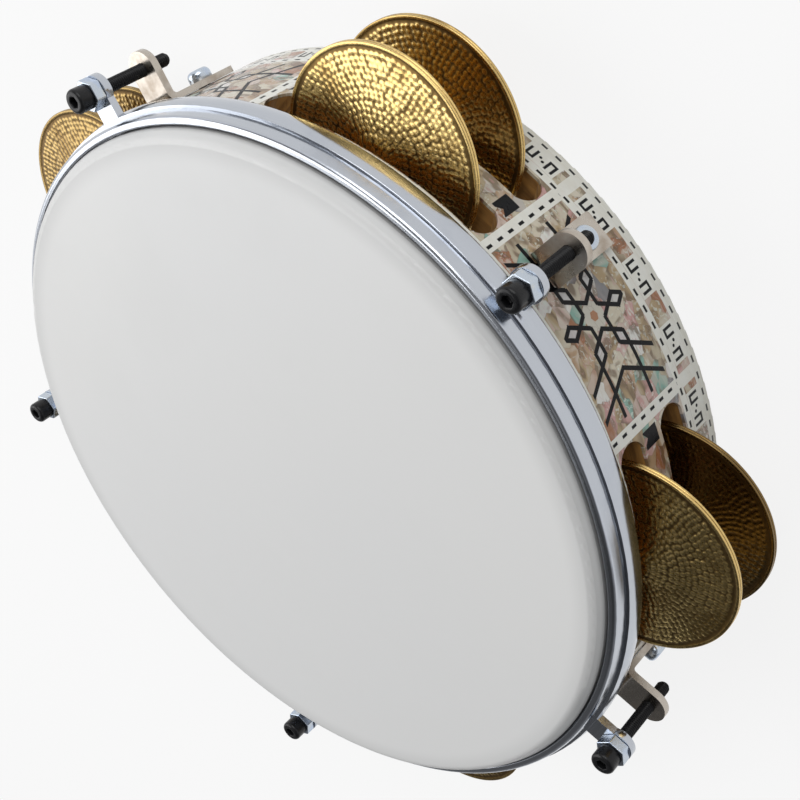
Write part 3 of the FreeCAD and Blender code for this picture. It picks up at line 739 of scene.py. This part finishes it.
class RIQ_OT_hoops(bpy.types.Operator):
    """Finish the tension hoop and the flesh hoop"""

    bl_idname = "riq.hoops"
    bl_label = "Finish the hoops"

    def execute(self, context):
        metal = drawn_aluminium(context.scene.riq_metal)
        dress("tension_hoop", metal)
        dress("flesh_hoop", metal)
        soften("tension_hoop", 0.18 * MM)
        return {"FINISHED"}


class RIQ_OT_brackets(bpy.types.Operator):
    """Finish the five brackets"""

    bl_idname = "riq.brackets"
    bl_label = "Finish the brackets"

    def execute(self, context):
        metal = satin_nickel(context.scene.riq_metal)
        for number in range(1, SETS + 1):
            dress(f"bracket_{number}", metal)
            soften(f"bracket_{number}", 0.3 * MM)
        return {"FINISHED"}


class RIQ_OT_screws(bpy.types.Operator):
    """Finish the bracket screws, washers and nuts, and the jingle pins"""

    bl_idname = "riq.screws"
    bl_label = "Finish the screws and pins"

    def execute(self, context):
        metal = bright_zinc(context.scene.riq_metal)
        for node in ("bracket_screws", "bracket_washers", "bracket_nuts"):
            dress(node, metal)
        soften("bracket_screws", 0.12 * MM)
        soften("bracket_nuts", 0.25 * MM)
        steel = ground_steel(context.scene.riq_metal)
        for number in range(1, SETS + 1):
            dress(f"jingle_pin_{number}", steel)
        return {"FINISHED"}


# Bolts and collars


class RiqBolt(bpy.types.PropertyGroup):
    radius: FloatProperty(
        name="Shank radius", description="Over the crests of the thread",
        default=2 * MM, min=1 * MM, unit="LENGTH", precision=5)
    head_radius: FloatProperty(
        name="Head radius", description="Socket head",
        default=(BOLT_HIGH.y - BOLT_LOW.y) / 2, min=1 * MM, unit="LENGTH", precision=5)
    head_height: FloatProperty(
        name="Head height", description="Socket head",
        default=4.6 * MM, min=1 * MM, unit="LENGTH", precision=5)
    thread: FloatProperty(
        name="Thread pitch", description="From one turn of the thread to the next",
        default=0.7 * MM, min=0.2 * MM, unit="LENGTH", precision=5)
    socket: FloatProperty(
        name="Socket", description="Across the flats of the hexagon socket",
        default=3 * MM, min=1 * MM, unit="LENGTH", precision=5)


# The thread: its depth and the length of its lead-in as shares of the pitch, the rows of
# the mesh in one pitch, how steep its flanks are and how wide its crests
THREAD_DEPTH, LEAD_IN, ROWS_PER_PITCH = 0.54, 1.2, 7
FLANK, CREST = 1.25, 0.12
LEAD_FADE = 0.75
LEAD_TAPER = 0.55 * MM
PLAIN_NECK = 4 * MM
TIP_RADIUS = 0.9 * MM
BOLT_SEGMENTS = 36

# Rows of the head in millimetres: inward of its side and above its seat, then outward of
# the hexagon and below the top, then the radius and the depth of the socket's floor
HEAD_FOOT = ((0.25, 0.0), (0.06, 0.08), (0.0, 0.3))
SOCKET_ROWS = ((0.16, 0.03), (0.03, 0.14), (0.0, 0.35), (0.0, 1.9), (0.05, 2.05))
SOCKET_FLOOR = (0.7, 2.4)
SOCKET_MOUTH = 0.64
HEAD_BEND, HEAD_BEND_ROWS = 1.1 * MM, 7
SIXTH_TURN = FULL_TURN / 6


def hexagon(flats, angle):
    """The radius of a hexagon at an angle."""
    return flats / 2 / math.cos((angle + SIXTH_TURN / 2) % SIXTH_TURN - SIXTH_TURN / 2)


def threaded_bolt(look):
    """A socket-head bolt with a cut thread, standing on its own axis."""
    low, top = BOLT_LOW.z, BOLT_HIGH.z
    seat = top - look.head_height
    depth = THREAD_DEPTH * look.thread

    def thread_row(height):
        lead = limited((height - low) / (LEAD_IN * look.thread))
        runout = limited((seat - PLAIN_NECK - height) / look.thread)

        def row(angle):
            phase = (height / look.thread - angle / FULL_TURN) % 1
            wave = abs(phase * 2 - 1)
            groove = depth * limited(wave * FLANK - CREST)
            crest = look.radius - (1 - lead) * LEAD_TAPER
            return crest - groove * (1 - LEAD_FADE * (1 - lead)) * runout, height
        return row

    def socket_row(outward, drop):
        return lambda angle: (hexagon(look.socket, angle) + outward * MM, top - drop * MM)

    count = int((seat - low) / (look.thread / ROWS_PER_PITCH))
    rows = [(TIP_RADIUS, low)]
    rows += [thread_row(low + (seat - low) * step / count) for step in range(count + 1)]
    head = look.head_radius
    rows += [(head - inward * MM, seat + rise * MM) for inward, rise in HEAD_FOOT]
    rows.append((head, top - HEAD_BEND - 0.1 * MM))
    for step in range(HEAD_BEND_ROWS):
        bend = QUARTER_TURN * (step + 0.5) / HEAD_BEND_ROWS
        rows.append((head - HEAD_BEND * (1 - math.cos(bend)),
                     top - HEAD_BEND * (1 - math.sin(bend))))
    rows += [(head - HEAD_BEND - 0.2 * MM, top), (look.socket * SOCKET_MOUTH, top - 0.01 * MM)]
    rows += [socket_row(outward, drop) for outward, drop in SOCKET_ROWS]
    rows.append((SOCKET_FLOOR[0] * MM, top - SOCKET_FLOOR[1] * MM))
    return turned_mesh("threaded_bolt", rows, BOLT_SEGMENTS)


class RIQ_OT_bolts(bpy.types.Operator):
    """Cut the five threaded tension bolts"""

    bl_idname = "riq.bolts"
    bl_label = "Cut the tension bolts"

    def execute(self, context):
        mesh = threaded_bolt(context.scene.riq_bolt)
        black = black_oxide(context.scene.riq_metal)
        for number in range(1, SETS + 1):
            node = f"tension_bolt_{number}"
            low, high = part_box(node)
            middle = (low + high) / 2
            spot = Matrix.Translation((middle.x, middle.y, 0))
            twist = Matrix.Rotation(number * QUARTER_TURN, 4, "Z")
            place_piece(f"threaded_bolt_{number}", mesh, black, spot @ twist,
                        f"bolt_{number}", "black_steel", node)
        return {"FINISHED"}


class RIQ_OT_collars(bpy.types.Operator):
    """Finish the hexagonal collars under the bolt heads"""

    bl_idname = "riq.collars"
    bl_label = "Finish the collars"

    def execute(self, context):
        dress("collar_nuts", bright_zinc(context.scene.riq_metal, "collar_zinc"))
        soften("collar_nuts", 0.35 * MM)
        return {"FINISHED"}


# Jingles


class RiqBrass(bpy.types.PropertyGroup):
    gold: FloatVectorProperty(
        name="Brass", description="Tops of the hammer marks and the plain rim",
        default=(0.84, 0.60, 0.235), subtype="COLOR", min=0, max=1)
    brown: FloatVectorProperty(
        name="Tarnish", description="Between the hammer marks",
        default=(0.085, 0.048, 0.016), subtype="COLOR", min=0, max=1)
    # This dark brass colour serves both real tarnish and painted shade on jingles in shade.
    aged_and_shaded: FloatVectorProperty(
        name="Aged brass", description="Colour that an old jingle goes towards",
        default=(0.13, 0.078, 0.028), subtype="COLOR", min=0, max=1)
    mark: FloatProperty(
        name="Hammer mark", description="From one hammer mark to the next",
        default=1.7 * MM, min=0.5 * MM, unit="LENGTH", precision=5)
    depth: FloatProperty(
        name="Mark depth", description="How far the valleys lie below the tops of the marks",
        default=0.21 * MM, min=0, unit="LENGTH", precision=5)
    rim: FloatProperty(
        name="Plain rim", description="Width of the rim without marks",
        default=0.6 * MM, min=0, unit="LENGTH", precision=5)
    segments: IntProperty(
        name="Segments", description="Steps round a jingle", default=420, min=48, max=480)


# How dark the jingles of each set are made, the rear pair and the front pair: partly real
# tarnish and partly painted shade, darker for jingles that lie in shade
AGES_AND_SHADE = ((0.25, 0.0), (0.65, 0.65), (0.35, 0.25), (0.40, 0.30), (0.90, 0.10))
THICKNESS = 0.9 * MM
FLANGE_FOOT = JINGLE_RADIUS - 2.5 * MM
FLANGE_RISE = 2.2 * MM
BELL_RADIUS = 7 * MM
BELL_RISE = 0.9 * MM
BELL_LAND = 3 * MM
JINGLE_HOLE = 2.0 * MM

# The rings of hammer marks, in marks: where the first and last lie, how far apart they
# are, how far a mark strays along and across its ring, and how far it swells
FIRST_RING, LAST_RING, RING_PITCH = 0.9, 0.45, 0.93
STRAY_ALONG, STRAY_ACROSS = 0.16, 0.14
MARK_REACH = 0.62
# Where the marks fade out: the plain land round the hole and the width of each fade
HOLE_LAND, HOLE_FADE, RIM_FADE = 0.4 * MM, 1 * MM, 0.5 * MM

# A jingle's section. The rim's rows are in millimetres, inward of its edge and below its
# top, and its foot's rows inward of the edge and above the rim's plane.
PLAIN_PROUD = 0.62
HOLE_BEVEL, FACE_START = 0.25 * MM, 0.2 * MM
FACE_STEPS, BACK_ROWS = 66, 12
RIM_ROWS = ((0.5, 0.02), (0.4, 0.0), (0.2, 0.02), (0.06, 0.09), (0.0, 0.25), (0.0, 0.6))
RIM_FOOT = ((0.1, 0.05), (0.3, 0.0))


def dome(radius):
    """Height of the sheet's inner face above the rim's plane."""
    flange_run = FLANGE_FOOT - BELL_RADIUS
    flange_bend = (flange_run ** 2 + FLANGE_RISE ** 2) / (2 * FLANGE_RISE)
    bell_run = BELL_RADIUS - BELL_LAND
    bell_bend = (bell_run ** 2 + BELL_RISE ** 2) / (2 * BELL_RISE)
    if radius >= FLANGE_FOOT:
        return 0.0
    if radius >= BELL_RADIUS:
        return flange_bend - math.sqrt(flange_bend ** 2 - (FLANGE_FOOT - radius) ** 2)
    top = FLANGE_RISE + BELL_RISE
    if radius >= BELL_LAND:
        return top - bell_bend + math.sqrt(bell_bend ** 2 - (radius - BELL_LAND) ** 2)
    return top


def hammer_marks(look, seed):
    """Where the marks are: rings of marks, each a little out of place."""
    chance = random.Random(seed)
    marks = []
    radius = JINGLE_HOLE + look.mark * FIRST_RING
    last = JINGLE_RADIUS - look.rim - look.mark * LAST_RING
    while radius < last:
        count = round(FULL_TURN * radius / look.mark)
        start = chance.uniform(0, FULL_TURN)
        for number in range(count):
            stray = chance.uniform(-STRAY_ALONG, STRAY_ALONG)
            angle = start + FULL_TURN * (number + stray) / count
            out = radius + look.mark * chance.uniform(-STRAY_ACROSS, STRAY_ACROSS)
            marks.append((out * math.cos(angle), out * math.sin(angle), 0))
        radius += look.mark * RING_PITCH
    tree = KDTree(len(marks))
    for number, mark in enumerate(marks):
        tree.insert(mark, number)
    tree.balance()
    return tree


def hammered_jingle(look, seed):
    """A domed brass jingle with a pebbled outer face, its rim in the plane z = 0."""
    tree = hammer_marks(look, seed)
    edge = JINGLE_RADIUS - look.rim
    proud = []

    def outer_row(radius):
        def row(angle):
            point = (radius * math.cos(angle), radius * math.sin(angle), 0)
            distance = tree.find(point)[2] / look.mark
            swell = max(0.0, 1 - (distance / MARK_REACH) ** 2)
            fade = limited((edge - radius) / RIM_FADE)
            fade *= limited((radius - JINGLE_HOLE - HOLE_LAND) / HOLE_FADE)
            drop = look.depth * (1 - swell) * fade
            proud.append(1 - (1 - swell) * fade)
            return radius, dome(radius) + THICKNESS - drop
        return row

    def plain_row(radius, height):
        def row(angle):
            proud.append(PLAIN_PROUD)
            return radius, height
        return row

    rows = [plain_row(JINGLE_HOLE, dome(0) + THICKNESS - HOLE_BEVEL)]
    start = JINGLE_HOLE + FACE_START
    rows += [outer_row(start + (edge - start) * step / FACE_STEPS)
             for step in range(FACE_STEPS + 1)]
    rows += [plain_row(JINGLE_RADIUS - inward * MM, THICKNESS - drop * MM)
             for inward, drop in RIM_ROWS]
    rows += [plain_row(JINGLE_RADIUS - inward * MM, rise * MM) for inward, rise in RIM_FOOT]
    for step in range(BACK_ROWS):
        radius = FLANGE_FOOT + (JINGLE_HOLE - FLANGE_FOOT) * step / (BACK_ROWS - 1)
        rows.append(plain_row(radius, dome(radius)))
    mesh = turned_mesh(f"hammered_jingle_{seed}", rows, look.segments, ring=True)
    mesh.flip_normals()
    layer = mesh.attributes.new("proud", "FLOAT", "POINT")
    layer.data.foreach_set("value", proud)
    return mesh


def hammered_brass(look):
    """Brass, bright on the marks and the rim, tarnished in the valleys, and darkened per
    jingle
    by its object colour: partly tarnish and partly painted shade.
    """
    finish = Finish("hammered_brass", Metallic=1.0)
    proud = finish.add("ShaderNodeAttribute", {"attribute_name": "proud"}, {}, "Fac")
    spot = finish.place()
    # Each jingle's object colour sets how far it goes dark: partly tarnish, partly painted
    # shade.
    age_and_shade = finish.add("ShaderNodeObjectInfo", {}, {}, "Color").parts()[0]
    cloud = finish.noise(spot, 55.0, 4.0, 0.6)
    speck = finish.noise(spot, 1100.0, 3.0, 0.6)
    valley = finish.spread(proud + (speck - 0.5) * 0.35, 0.80, 0.15)
    stain, bright = (0.26, 0.155, 0.045), (0.82, 0.66, 0.32)
    tone = finish.mix(valley * 0.92, look.gold, look.brown)
    tone = finish.mix(finish.spread(cloud, 0.50, 0.66) * 0.6, tone, stain)
    tone = finish.mix(finish.spread(cloud, 0.42, 0.28) * 0.35, tone, bright)
    tone = finish.mix(age_and_shade, tone, look.aged_and_shaded)
    rough = finish.spread(speck, 0.3, 0.7, 0.15, 0.27) + valley * 0.2
    finish.set(Base_Color=tone, Roughness=rough, Normal=finish.bump(speck, 0.015 * MM))
    return finish.material


class RIQ_OT_jingles(bpy.types.Operator):
    """Hammer the twenty brass jingles"""

    bl_idname = "riq.jingles"
    bl_label = "Hammer the jingles"

    def execute(self, context):
        look = context.scene.riq_brass
        meshes = [hammered_jingle(look, seed) for seed in (1, 2)]
        brass = hammered_brass(look)
        count = 0
        for number in range(1, SETS + 1):
            for row in ("rear", "front"):
                for level in ("low", "high"):
                    node = f"jingle_{number}_{row}_{level}"
                    low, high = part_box(node)
                    middle = (low + high) / 2
                    rim = low.z if level == "high" else high.z
                    matrix = Matrix.Translation((middle.x, middle.y, rim))
                    if level == "low":
                        matrix = matrix @ Matrix.Rotation(math.pi, 4, "X")
                    matrix = matrix @ Matrix.Rotation(count * QUARTER_TURN, 4, "Z")
                    piece = place_piece(f"hammered_{node}", meshes[count % 2], brass, matrix,
                                        node, "brass", node)
                    # Painted shade as well as tarnish: jingles that lie in shade get a darker
                    # share.
                    age_and_shade = AGES_AND_SHADE[number - 1][row == "front"]
                    piece.color = (age_and_shade, age_and_shade, age_and_shade, 1)
                    count += 1
        return {"FINISHED"}


# Stage


class RiqStage(bpy.types.PropertyGroup):
    floor: FloatVectorProperty(
        name="Floor", description="Plain pale floor",
        default=(0.74, 0.74, 0.74), subtype="COLOR", min=0, max=1)
    sky: FloatProperty(
        name="Room light", description="Even light from all round", default=0.29, min=0)
    key: FloatProperty(
        name="Key light", description="Large soft light from the far side",
        default=10.0, min=0, unit="POWER")
    fill: FloatProperty(
        name="Side light", description="Softer light from the camera's right",
        default=7.0, min=0, unit="POWER")


CAMERA_SPOT = Vector((308.03, -159.36, 279.3)) * MM
CAMERA_TURN = (-38.823, 37.784, -79.468)
CAMERA_LENS, CAMERA_SENSOR = 62.09, 36
CAMERA_NEAR, CAMERA_FAR = 0.01, 50
FLOOR_REACH, FLOOR_DEPTH = 6.0, 0.02
# Each lamp's side and its place, in metres, and the place that both face
KEY_SIDE, KEY_SPOT = 1.1, (-0.17, 0.80, 0.97)
FILL_SIDE, FILL_SPOT = 0.9, (1.15, 0.12, 0.67)
LAMP_TARGET = (0, 0, 0.05)
# How bright the room looks in reflections, from the horizon to straight above
ROOM = ((0.0, 0.90), (0.30, 1.0), (0.48, 0.50), (0.66, 0.14), (0.85, 0.10), (1.0, 0.30))
# Towards the darker side of the room
DARK_SIDE = (-0.94, -0.34)
DARK_WALL = (0.02, 0.02, 0.02)
ROOM_LIGHT = (0.97, 0.985, 1.0)


def add_lamp(name, power, side, spot):
    """A square soft light that faces the drum."""
    lamp = bpy.data.lights.new(name, "AREA")
    lamp.energy = power
    lamp.size = side
    holder = bpy.data.objects.new(name, lamp)
    bpy.context.scene.collection.objects.link(holder)
    holder.location = spot
    facing = Vector(LAMP_TARGET) - Vector(spot)
    holder.rotation_euler = facing.to_track_quat("-Z", "Y").to_euler()


def studio_air(look):
    """Even light, with a white background low down and a darker ceiling in reflections."""
    world = bpy.data.worlds.new("studio")
    bpy.context.scene.world = world
    air = Nodes(world)
    spot = air.add("ShaderNodeTexCoord", {}, {}, "Generated")
    along, side, up = spot.parts()
    stops = [(place, (grey, grey, grey * 1.02)) for place, grey in ROOM]
    room = air.ramp(up, stops)
    away = along * DARK_SIDE[0] + side * DARK_SIDE[1]
    room = air.mix(air.spread(away, 0.40, 0.62) * 0.75, room, DARK_WALL)
    seen = air.add("ShaderNodeBackground", {}, {"Color": room})
    even = {"Color": ROOM_LIGHT, "Strength": look.sky}
    light = air.add("ShaderNodeBackground", {}, even)
    both = air.add("ShaderNodeMixShader", {}, {0: air.shown(), 1: light, 2: seen})
    air.add("ShaderNodeOutputWorld", {}, {"Surface": both})


def studio_floor(look):
    """A plain pale floor that shows nearly white and keeps the drum's shadow."""
    material = bpy.data.materials.new("studio_floor")
    paper = Nodes(material)
    haze = paper.noise(paper.place(), 3.0, 2.0)
    tone = paper.mix(haze * 0.1, look.floor, (0.70, 0.70, 0.70))
    inputs = {"Base Color": tone, "Roughness": 0.9, "Specular IOR Level": 0.1}
    lit = paper.add("ShaderNodeBsdfPrincipled", {}, inputs)
    white = paper.add("ShaderNodeEmission", {}, {"Color": (1, 1, 1)})
    both = paper.add("ShaderNodeMixShader", {}, {0: paper.shown() * 0.85, 1: lit, 2: white})
    paper.add("ShaderNodeOutputMaterial", {}, {"Surface": both})
    return material


class RIQ_OT_stage(bpy.types.Operator):
    """Set up the floor, the lights and the camera"""

    bl_idname = "riq.stage"
    bl_label = "Set the stage"

    def execute(self, context):
        scene = context.scene
        look = scene.riq_stage
        rows = [(FLOOR_REACH, -FLOOR_DEPTH), (FLOOR_REACH, 0), (MM, 0)]
        mesh = turned_mesh("floor", rows, 64)
        floor = bpy.data.objects.new("floor", mesh)
        floor.data.materials.append(studio_floor(look))
        scene.collection.objects.link(floor)
        studio_air(look)
        add_lamp("key_light", look.key, KEY_SIDE, KEY_SPOT)
        add_lamp("side_light", look.fill, FILL_SIDE, FILL_SPOT)
        scene.view_settings.view_transform = "Standard"
        camera = bpy.data.cameras.new("camera")
        camera.lens = CAMERA_LENS
        camera.sensor_width = CAMERA_SENSOR
        camera.clip_start, camera.clip_end = CAMERA_NEAR, CAMERA_FAR
        holder = bpy.data.objects.new("camera", camera)
        holder.location = CAMERA_SPOT
        holder.rotation_euler = [math.radians(turn) for turn in CAMERA_TURN]
        scene.collection.objects.link(holder)
        scene.camera = holder
        return {"FINISHED"}


# Add-on


LOOKS = {
    "riq_wood": RiqWood,
    "riq_inlay": RiqInlay,
    "riq_film": RiqFilm,
    "riq_metal": RiqMetal,
    "riq_bolt": RiqBolt,
    "riq_brass": RiqBrass,
    "riq_stage": RiqStage,
}
STEPS = (
    (RIQ_OT_wood, "riq_wood"),
    (RIQ_OT_inlay, "riq_inlay"),
    (RIQ_OT_binding, "riq_inlay"),
    (RIQ_OT_head, "riq_film"),
    (RIQ_OT_hoops, "riq_metal"),
    (RIQ_OT_brackets, "riq_metal"),
    (RIQ_OT_screws, "riq_metal"),
    (RIQ_OT_collars, "riq_metal"),
    (RIQ_OT_bolts, "riq_bolt"),
    (RIQ_OT_jingles, "riq_brass"),
    (RIQ_OT_stage, "riq_stage"),
)


class RIQ_PT_panel(bpy.types.Panel):
    """The drum's finishes and pieces"""

    bl_idname = "RIQ_PT_panel"
    bl_label = "Riq drum"
    bl_space_type = "VIEW_3D"
    bl_region_type = "UI"
    bl_category = "Riq"

    def draw(self, context):
        for operator, look in STEPS:
            box = self.layout.box()
            settings = getattr(context.scene, look)
            for name in settings.__annotations__:
                box.prop(settings, name)
            box.operator(operator.bl_idname)


def classes():
    return [*LOOKS.values(), *(operator for operator, _ in STEPS), RIQ_PT_panel]


def register():
    for item in classes():
        bpy.utils.register_class(item)
    for name, group in LOOKS.items():
        setattr(bpy.types.Scene, name, PointerProperty(type=group))


def unregister():
    for name in LOOKS:
        delattr(bpy.types.Scene, name)
    for item in reversed(classes()):
        bpy.utils.unregister_class(item)


def main():
    register()
    for operator, _ in STEPS:
        _, call = operator.bl_idname.split(".")
        getattr(bpy.ops.riq, call)()


if __name__ == "__main__":
    main()
